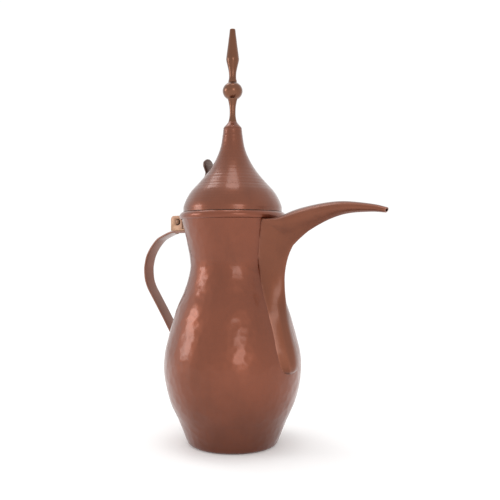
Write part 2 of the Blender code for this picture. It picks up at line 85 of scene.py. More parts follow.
# The mouth ring's outside, from its top to the line under it
COLLAR_LIP = [(39.9, 183.6), (40.9, 183.1), (41.8, 182.1), (42.3, 180.7), (42.2, 179.2), (41.85, 178.3),
              (41.35, 177.8), (40.9, 177.6)]
# The lid's outside, from its crown to its lower edge
LID_KNOTS = [(7.3, 250.5), (8.1, 245.0), (9.7, 235.6), (13.4, 226.0), (19.2, 216.4), (27.0, 207.0),
             (33.0, 200.4), (36.8, 194.2), (39.1, 188.4), (39.35, 183.9)]
MOUTH_RADIUS = 37.6


def spline(points, steps):
    """Points along the Catmull-Rom curve through the given points, steps to a span."""
    knots = [np.array(point, float) for point in points]
    knots = [2 * knots[0] - knots[1]] + knots + [2 * knots[-1] - knots[-2]]
    curve = []
    for a, b, c, d in zip(knots, knots[1:], knots[2:], knots[3:]):
        for step in range(steps):
            t = step / steps
            curve.append(0.5 * (2 * b + (c - a) * t + (2 * a - 5 * b + 4 * c - d) * t ** 2
                                + (3 * b - a - 3 * c + d) * t ** 3))
    curve.append(knots[-2])
    return np.array(curve)


def spaced(curve, pitch):
    """The curve's points moved to even spacing along its length."""
    curve = np.array(curve, float)
    steps = np.linalg.norm(np.diff(curve[:, :2], axis=0), axis=1)
    along = np.concatenate([[0], np.cumsum(steps)])
    places = np.linspace(0, along[-1], max(2, int(round(along[-1] / pitch)) + 1))
    return np.stack([np.interp(places, along, column) for column in curve.T], axis=1)


def outward(profile):
    """Unit outward normals of a profile that runs down its outside."""
    tangent = np.gradient(np.array(profile, float), axis=0)
    normal = np.stack([-tangent[:, 1], tangent[:, 0]], axis=1)
    return normal / np.linalg.norm(normal, axis=1)[:, None]


BODY_CURVE = spaced(spline(BODY_KNOTS, 12), 0.9)
LID_CURVE = spaced(spline(LID_KNOTS, 12), 0.36)


def radius_at(curve, z):
    """Radius of a turned curve at a height."""
    rising = curve[curve[:, 1].argsort()]
    return float(np.interp(z, rising[:, 1], rising[:, 0]))


def outward_at(curve, z):
    """Unit (radial, upward) normal of a turned curve at a height."""
    slope = (radius_at(curve, z + 2) - radius_at(curve, z - 2)) / 4
    length = math.hypot(1, slope)
    return 1 / length, -slope / length


# ---------------------------------------------------------------- mesh building

def make_piece(name, vertices, faces, material, body, stands_for, sharp):
    """A smooth-shaded piece from points in mm, which rides on a body and takes the place of CAD nodes."""
    piece = plain_object(name, vertices, faces)
    return settle(piece, material, body, stands_for, sharp)


def plain_object(name, points, faces):
    """A mesh object from points in mm, with doubled points merged and its faces turned outward."""
    mesh = bpy.data.meshes.new(name)
    mesh.from_pydata([tuple(point) for point in np.array(points) * MM], [], [tuple(face) for face in faces])
    cleaned = bmesh.new()
    cleaned.from_mesh(mesh)
    bmesh.ops.remove_doubles(cleaned, verts=cleaned.verts, dist=MERGE_DISTANCE)
    bmesh.ops.recalc_face_normals(cleaned, faces=cleaned.faces)
    cleaned.to_mesh(mesh)
    cleaned.free()
    obj = bpy.data.objects.new(name, mesh)
    bpy.context.scene.collection.objects.link(obj)
    return obj


def settle(piece, material, body, stands_for, sharp):
    """Shade and finish a piece, and place it on its body instead of the CAD nodes it stands for."""
    piece.data.shade_smooth()
    piece.data.set_sharp_from_angle(angle=math.radians(sharp))
    piece.data.materials.clear()
    piece.data.materials.append(material)
    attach(piece, body)
    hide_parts(*stands_for)
    return piece


def grid_faces(rows, columns, close_rows=False, close_columns=True):
    """Quads over a grid of points stored row by row."""
    faces = []
    for i in range(rows if close_rows else rows - 1):
        first, second = i * columns, (i + 1) % rows * columns
        for j in range(columns if close_columns else columns - 1):
            k = (j + 1) % columns
            faces.append((first + j, second + j, second + k, first + k))
    return faces


def turned_grid(profile, segments, depth=None):
    """Points of a turned profile, pushed in along its normals by depth(points)."""
    profile = np.array(profile, float)
    angles = np.linspace(0, 2 * math.pi, segments, endpoint=False)
    circle = np.stack([np.cos(angles), np.sin(angles)], axis=1)

    def swept(pairs):
        flat = pairs[:, 0][:, None, None] * circle[None]
        rise = np.repeat(pairs[:, 1][:, None, None], segments, axis=1)
        return np.concatenate([flat, rise], axis=2)

    points = swept(profile)
    if depth is not None:
        points = points - swept(outward(profile)) * depth(points)[:, :, None]
    return points


def turned(name, profile, segments, material, body, stands_for, closed=False, depth=None,
           sharp=32.0, move=None):
    """A turned piece. depth presses marks into it, and move places its finished points."""
    points = turned_grid(profile, segments, depth)
    faces = grid_faces(len(points), segments, close_rows=closed)
    points = points.reshape(-1, 3)
    if move is not None:
        points = move(points)
    return make_piece(name, points, faces, material, body, stands_for, sharp)


def fillet(profile, radius, steps=5):
    """The profile with each inner corner rounded by a short curve."""
    points = [np.array(p, float) for p in profile]
    rounded = [points[0]]
    for before, corner, after in zip(points, points[1:], points[2:]):
        to_before, to_after = before - corner, after - corner
        reach_before = min(radius, np.linalg.norm(to_before) * 0.45)
        reach_after = min(radius, np.linalg.norm(to_after) * 0.45)
        start = corner + to_before / np.linalg.norm(to_before) * reach_before
        end = corner + to_after / np.linalg.norm(to_after) * reach_after
        for t in np.linspace(0, 1, steps):
            rounded.append((1 - t) ** 2 * start + 2 * t * (1 - t) * corner + t ** 2 * end)
    rounded.append(points[-1])
    return np.array(rounded)


def strip_section(half_width, thickness, corner, steps=3):
    """A rounded rectangle as (across, through) pairs, through running from 0 to thickness."""
    corner = min(corner, thickness / 2 - 0.01, half_width - 0.01)
    centres = [(half_width - corner, thickness - corner, 0), (corner - half_width, thickness - corner, 90),
               (corner - half_width, corner, 180), (half_width - corner, corner, 270)]
    section = []
    for across, through, start in centres:
        for angle in np.radians(np.linspace(start, start + 90, steps + 1)):
            section.append((across + corner * math.cos(angle), through + corner * math.sin(angle)))
    return section


def strip(name, path, halves, thickness, corner, material, body, stands_for, round_ends=0.0,
          wobble=0.0):
    """A flat metal strip along an XZ path, thickened to the left of the path, with rounded edges."""
    path = np.array(path, float)
    tangent = np.gradient(path, axis=0)
    tangent /= np.linalg.norm(tangent, axis=1)[:, None]
    left = np.stack([-tangent[:, 1], tangent[:, 0]], axis=1)
    steps = np.concatenate([[0], np.cumsum(np.linalg.norm(np.diff(path, axis=0), axis=1))])
    rng = np.random.default_rng(len(name))
    waves = [(rng.uniform(0.15, 0.5), rng.uniform(0, 6.28)) for _ in range(4)]
    rings = []
    for i, (x, z) in enumerate(path):
        half = halves[i]
        if round_ends:
            from_end = min(steps[i], steps[-1] - steps[i])
            if from_end < round_ends:
                half = half - round_ends + math.sqrt(round_ends ** 2 - (round_ends - from_end) ** 2) + 0.02
        half += wobble * sum(math.sin(steps[i] * rate + phase) for rate, phase in waves) / 4
        for across, through in strip_section(half, thickness, corner):
            rings.append((x + left[i, 0] * through, across, z + left[i, 1] * through))
    columns = len(rings) // len(path)
    faces = grid_faces(len(path), columns)
    faces += [tuple(range(columns)), tuple(range(len(rings) - columns, len(rings)))]
    return make_piece(name, rings, faces, material, body, stands_for, sharp=50)


# ---------------------------------------------------------------- hammer marks

def ring_centres(curve, cell, seed):
    """Places of hammer blows laid in rings down a turned curve, a little out of line."""
    rng = np.random.default_rng(seed)
    centres = []
    for r, z in spaced(curve, cell * 0.86):
        count = max(3, int(round(2 * math.pi * r / cell)))
        start = rng.uniform(0, 2 * math.pi)
        for i in range(count):
            angle = start + 2 * math.pi * (i + rng.uniform(-0.3, 0.3)) / count
            height = z + rng.uniform(-0.3, 0.3) * cell
            centres.append((r * math.cos(angle), r * math.sin(angle), height))
    return np.array(centres)


def dent_field(centres, cell, deepest, seed):
    """A function that gives the depth of overlapping round dents at points in mm."""
    tree = KDTree(len(centres))
    for i, centre in enumerate(centres):
        tree.insert(centre, i)
    tree.balance()
    strength = np.random.default_rng(seed).uniform(0.25, 1.0, len(centres))

    def depth(points):
        flat = points.reshape(-1, 3)
        out = np.empty(len(flat))
        for n, point in enumerate(flat):
            bowls = [strength[i] * max(0.0, 1 - (d / cell) ** 2) for _, i, d in tree.find_n(point, 3)]
            out[n] = max(bowls) * 0.75 + sum(bowls) / len(bowls) * 0.25
        return out.reshape(points.shape[:-1]) * deepest

    return depth


# ---------------------------------------------------------------- materials

def add_node(tree, kind, **settings):
    """A new shader node, with each setting given to the input or the property of that name."""
    node = tree.nodes.new(kind)
    for key, value in settings.items():
        if key in node.inputs:
            node.inputs[key].default_value = value
        else:
            setattr(node, key, value)
    return node


def stretched_noise(tree, place, stretch, scale, detail):
    """A noise texture on object coordinates, squeezed along each axis by stretch."""
    mapping = add_node(tree, "ShaderNodeMapping", Scale=stretch)
    texture = add_node(tree, "ShaderNodeTexNoise", Scale=scale, Detail=detail, Roughness=0.55)
    tree.links.new(place, mapping.inputs["Vector"])
    tree.links.new(mapping.outputs["Vector"], texture.inputs["Vector"])
    return texture.outputs["Fac"]


def remap(tree, value, low, high, to_low, to_high):
    """A value's range from low to high, stretched to run from to_low to to_high."""
    node = add_node(tree, "ShaderNodeMapRange")
    for key, number in zip(("From Min", "From Max", "To Min", "To Max"), (low, high, to_low, to_high)):
        node.inputs[key].default_value = number
    tree.links.new(value, node.inputs["Value"])
    return node.outputs["Result"]


def blend_colors(tree, factor, first, second):
    """A mix of two colours, each a tuple or the output of another node."""
    node = tree.nodes.new("ShaderNodeMix")
    node.data_type = "RGBA"
    tree.links.new(factor, node.inputs[0])
    for socket, color in ((node.inputs[6], first), (node.inputs[7], second)):
        if isinstance(color, tuple):
            socket.default_value = (*color, 1.0)
        else:
            tree.links.new(color, socket)
    return node.outputs[2]


def calculate(tree, operation, first, second):
    """One sum on two values, each a number or the output of another node."""
    node = add_node(tree, "ShaderNodeMath", operation=operation)
    for socket, value in zip(node.inputs, (first, second)):
        if isinstance(value, float):
            socket.default_value = value
        else:
            tree.links.new(value, socket)
    return node.outputs[0]


METALLIC = 0.9
WEAR = 0.5


def metal(name, base, deep, bright, roughness, coat=0.5, coat_roughness=0.28, grain=(1, 1, 1),
          grain_bump=0.06, hammer_bump=0.0, painted_shade_at_floor=1.0):
    """Worked metal: tone patches, upright stains, worn ridges, fine grain and a thin lacquer.

    base and deep are the two tones, and bright is the colour of worn ridges. grain squeezes the fine
    grain along each axis, and SPUN gives the rings of a spun surface. Towards the floor the colour is
    darkened as painted shade, for the dim floor beside the pot that its low side reflects:
    painted_shade_at_floor is how bright the colour stays at the floor, from which it rises to full
    over 50 mm.
    """
    material = bpy.data.materials.new(name)
    material.use_nodes = True
    tree = material.node_tree
    shader = tree.nodes["Principled BSDF"]
    place = add_node(tree, "ShaderNodeTexCoord").outputs["Object"]

    patches = stretched_noise(tree, place, (1, 1, 1), 24.0, 4)
    stains = stretched_noise(tree, place, (1, 1, 0.22), 70.0, 5)
    fine = stretched_noise(tree, place, grain, 1100.0, 3)
    specks = stretched_noise(tree, place, (1, 1, 1), 520.0, 2)

    tone = calculate(tree, "ADD", remap(tree, patches, 0.36, 0.66, 0.0, 0.6),
                     remap(tree, stains, 0.45, 0.75, 0.0, 0.5))
    color = blend_colors(tree, tone, base, deep)
    ridge = tree.nodes.new("ShaderNodeNewGeometry").outputs["Pointiness"]
    color = blend_colors(tree, remap(tree, ridge, 0.505, 0.56, 0.0, WEAR), color, bright)
    color = blend_colors(tree, remap(tree, specks, 0.66, 0.78, 0.0, 0.35), color, deep)
    # Painted shade: the colour darkens towards the floor, standing in for the dim floor that the pot's low
    # side reflects.
    if painted_shade_at_floor < 1:
        height = add_node(tree, "ShaderNodeSeparateXYZ")
        tree.links.new(place, height.inputs["Vector"])
        dark = remap(tree, height.outputs["Z"], 0.0, 0.05, 1 - painted_shade_at_floor, 0.0)
        color = blend_colors(tree, dark, color, (0.0, 0.0, 0.0))
    tree.links.new(color, shader.inputs["Base Color"])

    gloss = calculate(tree, "ADD", remap(tree, patches, 0.3, 0.7, roughness - 0.05, roughness + 0.06),
                      remap(tree, fine, 0.3, 0.7, -0.03, 0.03))
    tree.links.new(gloss, shader.inputs["Roughness"])

    bump = add_node(tree, "ShaderNodeBump", Strength=grain_bump, Distance=0.0004)
    tree.links.new(fine, bump.inputs["Height"])
    normal = bump.outputs["Normal"]
    if hammer_bump:
        cells = add_node(tree, "ShaderNodeTexVoronoi", feature="SMOOTH_F1", Scale=210.0, Smoothness=0.6)
        tree.links.new(place, cells.inputs["Vector"])
        dents = add_node(tree, "ShaderNodeBump", Strength=hammer_bump, Distance=0.0006)
        tree.links.new(cells.outputs["Distance"], dents.inputs["Height"])
        tree.links.new(normal, dents.inputs["Normal"])
        normal = dents.outputs["Normal"]
    tree.links.new(normal, shader.inputs["Normal"])
    tree.links.new(normal, shader.inputs["Coat Normal"])

    shader.inputs["Metallic"].default_value = METALLIC
    shader.inputs["Coat Weight"].default_value = coat
    shader.inputs["Coat Roughness"].default_value = coat_roughness
    return material


SPUN = (0.02, 0.02, 1.0)
WORN_COPPER = (0.33, 0.12, 0.07)
# The body's colour darkens towards the floor as painted shade.
BODY_METAL = metal("body_lacquered_copper", (0.206, 0.052, 0.021), (0.160, 0.040, 0.015), WORN_COPPER,
                   0.37, coat=0.66, coat_roughness=0.17, hammer_bump=0.16, painted_shade_at_floor=0.80)
# The lid's tones are a little darker than the body's: painted shade that holds back the extra light its
# upward-facing cone catches.
LID_METAL = metal("lid_spun_copper", (0.190, 0.052, 0.022), (0.145, 0.039, 0.016), WORN_COPPER,
                  0.37, coat=0.66, coat_roughness=0.17, grain=SPUN, grain_bump=0.20, hammer_bump=0.06)
SPOUT_METAL = metal("spout_copper", (0.188, 0.052, 0.020), (0.145, 0.038, 0.013), WORN_COPPER,
                    0.40, coat=0.60, coat_roughness=0.20, hammer_bump=0.08)
STRAP_METAL = metal("handle_copper", (0.165, 0.055, 0.033), (0.100, 0.034, 0.021), (0.42, 0.20, 0.13),
                    0.36, coat=0.7, coat_roughness=0.15)
HINGE_METAL = metal("hinge_bright_copper", (0.210, 0.098, 0.051), (0.16, 0.070, 0.034), (0.42, 0.25, 0.15),
                    0.36, coat=0.5, grain_bump=0.02)
FINIAL_METAL = metal("finial_copper", (0.170, 0.060, 0.026), (0.105, 0.038, 0.015), (0.36, 0.17, 0.09),
                     0.28, coat=0.5, coat_roughness=0.12, grain=SPUN, grain_bump=0.05)
FOOT_METAL = metal("foot_dark_copper", (0.110, 0.036, 0.019), (0.070, 0.024, 0.013), (0.22, 0.09, 0.05),
                   0.45, coat=0.6, coat_roughness=0.2)
# Dark copper for the thumb lever and the lid's rivets: its darkness is painted shade, for the shade on the
# lever's face turned to the lid.
PAINTED_SHADE_METAL = metal("dark_copper_painted_shade", (0.130, 0.066, 0.048), (0.055, 0.030, 0.023), (0.28, 0.21, 0.18),
                   0.38, coat=0.6, coat_roughness=0.2)
TIN_METAL = metal("tinned_copper", (0.50, 0.46, 0.42), (0.33, 0.27, 0.22), (0.70, 0.66, 0.60),
                  0.36, grain=SPUN, coat=0.0)
STEEL_METAL = metal("plain_steel", (0.42, 0.41, 0.40), (0.24, 0.22, 0.20), (0.62, 0.61, 0.60),
                    0.34, coat=0.0)


# ---------------------------------------------------------------- pot body

BODY_SEGMENTS = 400
# Size and depth of the hammer marks
HAMMER_CELL = 5.4
HAMMER_DEPTH = 0.36
FOOT_RADIUS = BODY_KNOTS[-1][0]


def make_body():
    """One raised sheet from lip to foot, hammered outside and smooth inside."""
    outer = BODY_CURVE
    foot = (FOOT_RADIUS, top_of("base_plate") + TOUCH)
    inside = (outer - outward(outer) * SHEET)[outer[:, 1] > foot[1] + SHEET]
    inner = np.concatenate([[foot], spaced(inside[::-1], 4.0)])
    dents = dent_field(ring_centres(BODY_CURVE, HAMMER_CELL, 3), HAMMER_CELL, HAMMER_DEPTH, 4)
    marked = len(outer)

    def depth(points):
        out = np.zeros(points.shape[:2])
        out[:marked - 1] = dents(points[:marked - 1])
        return out

    return turned("body_hammered", np.concatenate([outer, inner]), BODY_SEGMENTS, BODY_METAL, "pot",
                  ("neck_shell", "belly_shell"), closed=True, depth=depth, sharp=45)


def make_base():
    """The bottom plate, set just inside the body's turned-in foot."""
    top = top_of("base_plate")
    radius = FOOT_RADIUS - TOUCH
    rim, dish = 3, 0.5
    outer = fillet([(radius - rim, top), (radius, top), (radius, 0), (radius - rim, 0)], 0.5)
    profile = [(0, top), *map(tuple, outer), (radius - rim - 1, 0.7 * dish), (10, dish), (0, dish)]
    return turned("base_disc", profile, 144, FOOT_METAL, "pot", ("base_plate",))


def make_collar():
    """The rolled mouth ring, with shallow dents pressed into its outside."""
    lip = spaced(spline(COLLAR_LIP, 10), 0.18)
    inner, underside = BODY_KNOTS[0]
    rim = [(inner, underside), (MOUTH_RADIUS, underside), (MOUTH_RADIUS, lip[0][1])]
    ledge = fillet([lip[-1], *rim, lip[0]], 0.5)
    middle, cell = 42.0, 6.0
    dents = dent_field(ring_centres([(middle, 183.0), (middle, 179.0)], cell, 8), cell, 0.05, 9)
    return turned("mouth_ring", np.concatenate([lip, ledge[1:-1]]), 360, BODY_METAL, "pot",
                  ("mouth_collar",), closed=True, depth=dents)


# ---------------------------------------------------------------- spout

SPOUT_WALL = 1.1
TIP_WALL = 0.7
# Below this height the tongue has no hollow
HOLLOW_FROM = 113
SPOUT_QUARTER = 15
# Overlay on the belly and neck: height, half width, how far its keel stands off the body, flatness
TONGUE = [(60.3, 2.0, 0.8, 1.0), (61.6, 6.2, 2.6, 1.0), (63.8, 9.0, 4.2, 1.0), (68.0, 11.2, 5.1, 0.95),
          (77.0, 12.5, 5.3, 0.9), (86.0, 12.4, 5.2, 0.85), (97.0, 12.0, 5.2, 0.85), (106.0, 12.0, 6.2, 0.9),
          (115.9, 11.0, 9.6, 0.7), (125.7, 9.8, 12.9, 0.6)]
# Beak: keel x and z, back x and z, half width, widest place from back to keel,
# front and back powers, and how flat its flanks are
BEAK = [((50.1, 136.0), (27.0, 139.0), 9.2, 0.28, 0.62, 1.3, 0.65),
        ((52.6, 147.2), (27.0, 157.0), 11.0, 0.22, 0.66, 1.0, 0.65),
        ((56.5, 155.5), (31.0, 171.5), 13.0, 0.22, 0.74, 0.8, 0.65),
        ((59.3, 158.6), (36.8, 177.3), 13.8, 0.06, 0.80, 0.5, 0.58),
        ((61.4, 160.4), (41.8, 177.5), 13.4, 0.05, 0.82, 0.4, 0.50),
        ((64.6, 163.0), (48.0, 178.9), 11.8, 0.20, 0.85, 0.7, 0.42),
        ((72.7, 168.5), (61.0, 184.0), 9.0, 0.40, 0.85, 1.2, 0.28),
        ((88.3, 175.6), (81.8, 187.6), 6.6, 0.47, 0.85, 1.3, 0.12),
        ((103.3, 179.4), (100.6, 188.4), 4.9, 0.50, 0.85, 1.3, 0.0),
        ((121.4, 180.0), (122.6, 185.6), 3.4, 0.50, 0.80, 1.3, 0.0),
        ((132.5, 179.1), (133.9, 182.8), 2.5, 0.50, 0.70, 1.3, 0.0)]


def tongue_station(z, half_width, relief, flatness):
    """One station of the tongue, its widest place on the body and its back inside the body."""
    body = radius_at(BODY_CURVE, z)
    keel = body + relief
    edge = math.sqrt(body ** 2 - half_width ** 2) - 0.3
    back = edge - 6.0
    return (keel, z, back, z, half_width, (edge - back) / (keel - back), 0.72, 1.3, flatness)


def spout_stations():
    """Every station as one row: keel, back, half width, widest fraction, powers, flatness."""
    rows = [tongue_station(*row) for row in TONGUE]
    rows += [(*keel, *back, *shape) for keel, back, *shape in BEAK]
    return rows


def flatten(u, place, share, flatness):
    """Blend a round flank with a bevel under a low crown. u runs from the widest place to the keel."""
    corner = 0.4 + 0.45 * flatness ** 2
    if u < 0.6:
        level = (corner * u / 0.6, 1 - 0.45 * u / 0.6)
    else:
        rest = (1 - u) / 0.4
        level = (1 - (1 - corner) * rest ** 1.5, 0.55 * rest)
    return place + (level[0] - place) * flatness, share + (level[1] - share) * flatness


def spout_ring(station, inset=0.0):
    """The section at a station: a loop round from back to keel and home, in the plane through Y."""
    keel_x, keel_z, back_x, back_z, half, widest, power, back_power, flatness = station
    along = np.array([keel_x - back_x, 0, keel_z - back_z])
    length = np.linalg.norm(along)
    along /= length
    ridge = 1 + max(0, power - 0.5)
    back = np.array([back_x, 0, back_z]) + along * inset * ridge
    reach = length - 2 * inset * ridge
    half -= inset
    side = []
    for angle in np.linspace(-math.pi / 2, math.pi / 2, 2 * SPOUT_QUARTER + 1):
        place = math.sin(angle)
        bulge = 2 * power if place > 0 else back_power
        share = abs(math.cos(angle)) ** bulge
        if place > 0:
            place, share = flatten(angle / math.pi * 2, place, share, flatness)
        fraction = widest + (widest if place < 0 else 1 - widest) * place
        side.append((fraction * reach, half * share))
    across = np.array([0, 1, 0])
    return [back + along * a + across * y for a, y in side] + [back + along * a - across * y
                                                               for a, y in reversed(side[1:-1])]


def loft(name, rings):
    """A closed solid through rings of equal point counts, as a plain object for cutting."""
    rings = np.array(rings)
    count = rings.shape[1]
    faces = grid_faces(len(rings), count)
    faces += [tuple(range(count)), tuple(range((len(rings) - 1) * count, len(rings) * count))]
    return plain_object(name, rings.reshape(-1, 3), faces)


def plain_turned(name, profile, segments):
    """A turned solid as a plain object, for cutting."""
    points = turned_grid(profile, segments)
    return plain_object(name, points.reshape(-1, 3), grid_faces(len(points), segments))


def carve(obj, cutters, joins=()):
    """Apply exact booleans to an object's mesh and remove the cutters."""
    for operation, tools in (("UNION", joins), ("DIFFERENCE", cutters)):
        for tool in tools:
            boolean = obj.modifiers.new("carve", "BOOLEAN")
            boolean.operation = operation
            boolean.solver = "EXACT"
            boolean.object = tool
    return bake_modifiers(obj, [*cutters, *joins])


def bake_modifiers(obj, helpers=()):
    """Give an object the mesh that its modifiers make, and remove the helper objects."""
    shaped = obj.evaluated_get(bpy.context.evaluated_depsgraph_get())
    mesh = bpy.data.meshes.new_from_object(shaped)
    obj.modifiers.clear()
    obj.data = mesh
    for helper in helpers:
        bpy.data.objects.remove(helper, do_unlink=True)
    return obj


def make_spout():
    """The hollow beak with its tongue seated on the body, open at its root and tip."""
    rows = spline(spout_stations(), 8)
    outer = np.array([spout_ring(row) for row in rows])
    rng = np.random.default_rng(12)
    points = outer.reshape(-1, 3)
    centres = points[rng.choice(len(points), 260, replace=False)]
    depth = dent_field(centres, 7.0, 0.05, 13)(outer)
    middle = outer.mean(axis=1, keepdims=True)
    inward = middle - outer
    inward /= np.linalg.norm(inward, axis=2)[:, :, None]
    spout = loft("spout_beak", outer + inward * depth[:, :, None])
    hollow_rows = [row for row in rows if row[1] > HOLLOW_FROM]
    walls = np.linspace(SPOUT_WALL, TIP_WALL, len(hollow_rows))
    rings = [spout_ring(row, wall) for row, wall in zip(hollow_rows, walls)]
    rings.append([2 * a - b for a, b in zip(rings[-1], rings[-2])])
    hollow = loft("spout_hollow", rings)
    seat = [(r - 0.2, z) for r, z in spaced(BODY_CURVE, 1.5)]
    seat = [(0, seat[0][1])] + seat + [(0, seat[-1][1])]
    body_cutter = plain_turned("spout_seat", seat, 180)
    lip = [(r + 0.45, z) for r, z in spline(COLLAR_LIP, 4)]
    above, below = lip[0][1] + 2, lip[-1][1] - 0.3
    clearance = [(0, above), (lip[0][0], above)] + lip + [(lip[-1][0], below), (0, below)]
    collar_cutter = plain_turned("spout_collar_gap", clearance, 180)
    carve(spout, [hollow, body_cutter, collar_cutter])
    return settle(spout, SPOUT_METAL, "pot", ("spout",), sharp=34)


# ---------------------------------------------------------------- handle and hinge

STRAP_THICKNESS = 1.8
# Hinge bracket: thickness of its floor, and half the width between its cheeks
CLEVIS_FLOOR = 1.3
CHEEK_INNER = 3.5
# The strap's outer face between its two tabs, from the neck over the top to the belly
HANDLE_SWEEP = [(-38.6, 166.2), (-40.6, 168.8), (-44.6, 169.5), (-52.0, 169.7), (-59.2, 169.7),
                (-63.9, 169.2), (-73.2, 166.0), (-79.8, 162.7), (-86.9, 155.8), (-91.7, 148.7),
                (-93.9, 141.8), (-94.6, 136.4), (-93.7, 127.8), (-90.7, 120.8), (-85.8, 113.9),
                (-78.2, 103.7), (-70.6, 93.2), (-64.6, 84.8), (-60.7, 79.4), (-58.6, 75.0)]


def make_handle():
    """The strap from its neck tab over the top and down to its belly tab, along its outer face."""
    neck_tab = [(-radius_at(BODY_CURVE, z) - TOUCH, z) for z in (155.0, 159.0, 163.0)]
    belly_tab = [(-radius_at(BODY_CURVE, z) - TOUCH - STRAP_THICKNESS, z) for z in (70.5, 64.5, 58.0)]
    path = spaced(spline(neck_tab + HANDLE_SWEEP + belly_tab, 10), 0.6)
    halves = [half_width_of("handle_strap")] * len(path)
    return strip("handle_band", path, halves, STRAP_THICKNESS, 0.7, STRAP_METAL, "pot",
                 ("handle_strap",), round_ends=3.0, wobble=0.12)


def make_clevis():
    """The U-shaped hinge bracket, its floor on the strap and its cheeks drilled for the pin."""
    low, high = (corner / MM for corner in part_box("hinge_clevis"))
    arc, sunk = 3.2, 0.3
    left, right, top, floor = low.x, HINGE_X + 5.4, high.z, low.z - sunk
    floor_top = floor + CLEVIS_FLOOR + sunk
    turn = np.linspace(0, math.pi / 2, 10)
    corner = [(left + arc - arc * math.sin(a), top - arc + arc * math.cos(a)) for a in turn]
    round_end = [(right - arc + arc * math.cos(a), top - arc + arc * math.sin(a)) for a in turn]
    outline = [(left, floor), (high.x, floor), (high.x, floor_top), (right, floor_top)]
    outline += round_end + corner
    count = len(outline)
    points = [(x, side * high.y, z) for side in (-1, 1) for x, z in outline]
    faces = [tuple(range(count)), tuple(range(2 * count - 1, count - 1, -1))]
    faces += [(i, (i + 1) % count, count + (i + 1) % count, count + i) for i in range(count)]
    clevis = plain_object("hinge_bracket", points, faces)
    slot_points = [(x, y, z) for x in (left - 1, right + 20) for y in (-CHEEK_INNER, CHEEK_INNER)
                   for z in (floor_top, top + 1)]
    slot_faces = [(0, 1, 3, 2), (4, 6, 7, 5), (0, 4, 5, 1), (2, 3, 7, 6), (0, 2, 6, 4), (1, 5, 7, 3)]
    slot = plain_object("bracket_slot", slot_points, slot_faces)
    # The hole is worn to one side, so it shows as a dark crescent beside the pin's head
    hole = lying_rod("bracket_hole", HINGE_X + 0.5, HINGE_Z - 0.15, 2.7, 20)
    carve(clevis, [slot, hole])
    bevel = clevis.modifiers.new("soft_edges", "BEVEL")
    bevel.width = 0.28 * MM
    bevel.segments = 3
    bevel.limit_method = "ANGLE"
    bevel.angle_limit = math.radians(40)
    bake_modifiers(clevis)
    return settle(clevis, HINGE_METAL, "pot", ("hinge_clevis",), sharp=40)


def lying_rod(name, x, z, radius, half_length):
    """A plain cylinder along Y, for cutting."""
    profile = [(0, half_length), (radius, half_length), (radius, -half_length), (0, -half_length)]
    rod = plain_turned(name, profile, 48)
    rod.rotation_euler = (math.pi / 2, 0, 0)
    rod.location = (x * MM, 0, z * MM)
    return rod


def along_pin(points):
    """Lay points turned about Z down along the hinge pin."""
    return np.stack([points[:, 0] + HINGE_X, -points[:, 2], points[:, 1] + HINGE_Z], axis=1)


def make_pin():
    """The hinge pin, with a low domed head at each end."""
    end = half_width_of("hinge_pin")
    radius, head, rise = 1.4, 2.1, 0.6
    dome = [(head * math.sin(a), end - rise + rise * math.cos(a)) for a in np.linspace(0, math.pi / 2, 10)]
    upper = dome + [(head, CHEEK_INNER), (radius, CHEEK_INNER)]
    profile = upper + [(r, -h) for r, h in reversed(upper)]
    return turned("hinge_pin_peened", profile, 48, HINGE_METAL, "pot", ("hinge_pin",),
                  move=along_pin)


def lid_point(z, stand_off):
    """A point on the back of the lid, stood off along its normal, as (x, z)."""
    out, up = outward_at(LID_CURVE, z)
    return -(radius_at(LID_CURVE, z) + out * stand_off), z + up * stand_off


LEAF_THICKNESS = 1.3
LEAF_HALF = 4.2
LEVER_THICKNESS = 1.5
KNUCKLE_RADIUS = 3.1
KNUCKLE_HALF = 3.2


def make_leaf():
    """The lid's hinge leaf, curled round the pin and then climbing the back of the lid."""
    curl = KNUCKLE_RADIUS - LEAF_THICKNESS
    start = HINGE_Z + curl
    sweep = [(HINGE_X, start), (HINGE_X + 3.4, start + 0.5), (-46.4, 182.2), (-42.4, 185.8)]
    sweep += [lid_point(z, TOUCH) for z in (190.5, 193.5, 196.5, 199.5, 202.5)]
    reach = spaced(spline(sweep, 8), 0.35)
    # The curl runs clockwise into the sweep, so that the strip's thickness stays outside it
    turns = np.radians(np.arange(290, 0, -8))
    circle = np.stack([HINGE_X - curl * np.sin(turns), HINGE_Z + curl * np.cos(turns)], axis=1)
    path = np.concatenate([circle, reach])
    # The leaf widens only past the bracket's cheeks
    growth = np.clip((path[:, 0] - HINGE_X - 8.0) / 4.0, 0, 1)
    growth[:len(circle)] = 0
    halves = KNUCKLE_HALF + (LEAF_HALF - KNUCKLE_HALF) * growth
    return strip("lid_leaf_plate", path, halves, LEAF_THICKNESS, 0.4, STRAP_METAL, "lid",
                 ("lid_leaf",))


def make_lever():
    """The thumb lever: a strip on the leaf that rises clear of the lid into a pointed leaf shape."""
    lap = LEAF_THICKNESS + 2 * TOUCH
    path = [lid_point(z, lap) for z in (194.0, 197.0, 200.0, 203.5)]
    path += [(-31.0, 208.4), (-27.6, 212.6), (-25.6, 216.4), (-25.0, 219.6), (-24.9, 222.8), (-24.9, 225.8),
             (-24.8, 228.0)]
    halves = (LEAF_HALF, LEAF_HALF, 4.1, 3.8, 2.8, 1.8, 2.2, 4.2, 5.8, 5.0, 1.6)
    rows = spline([(*point, half) for point, half in zip(path, halves)], 10)
    # The lever's dark copper is painted shade.
    return strip("thumb_piece", rows[:, :2], rows[:, 2], LEVER_THICKNESS, 0.5, PAINTED_SHADE_METAL, "lid",
                 ("thumb_lever",))


# ---------------------------------------------------------------- lid and finial

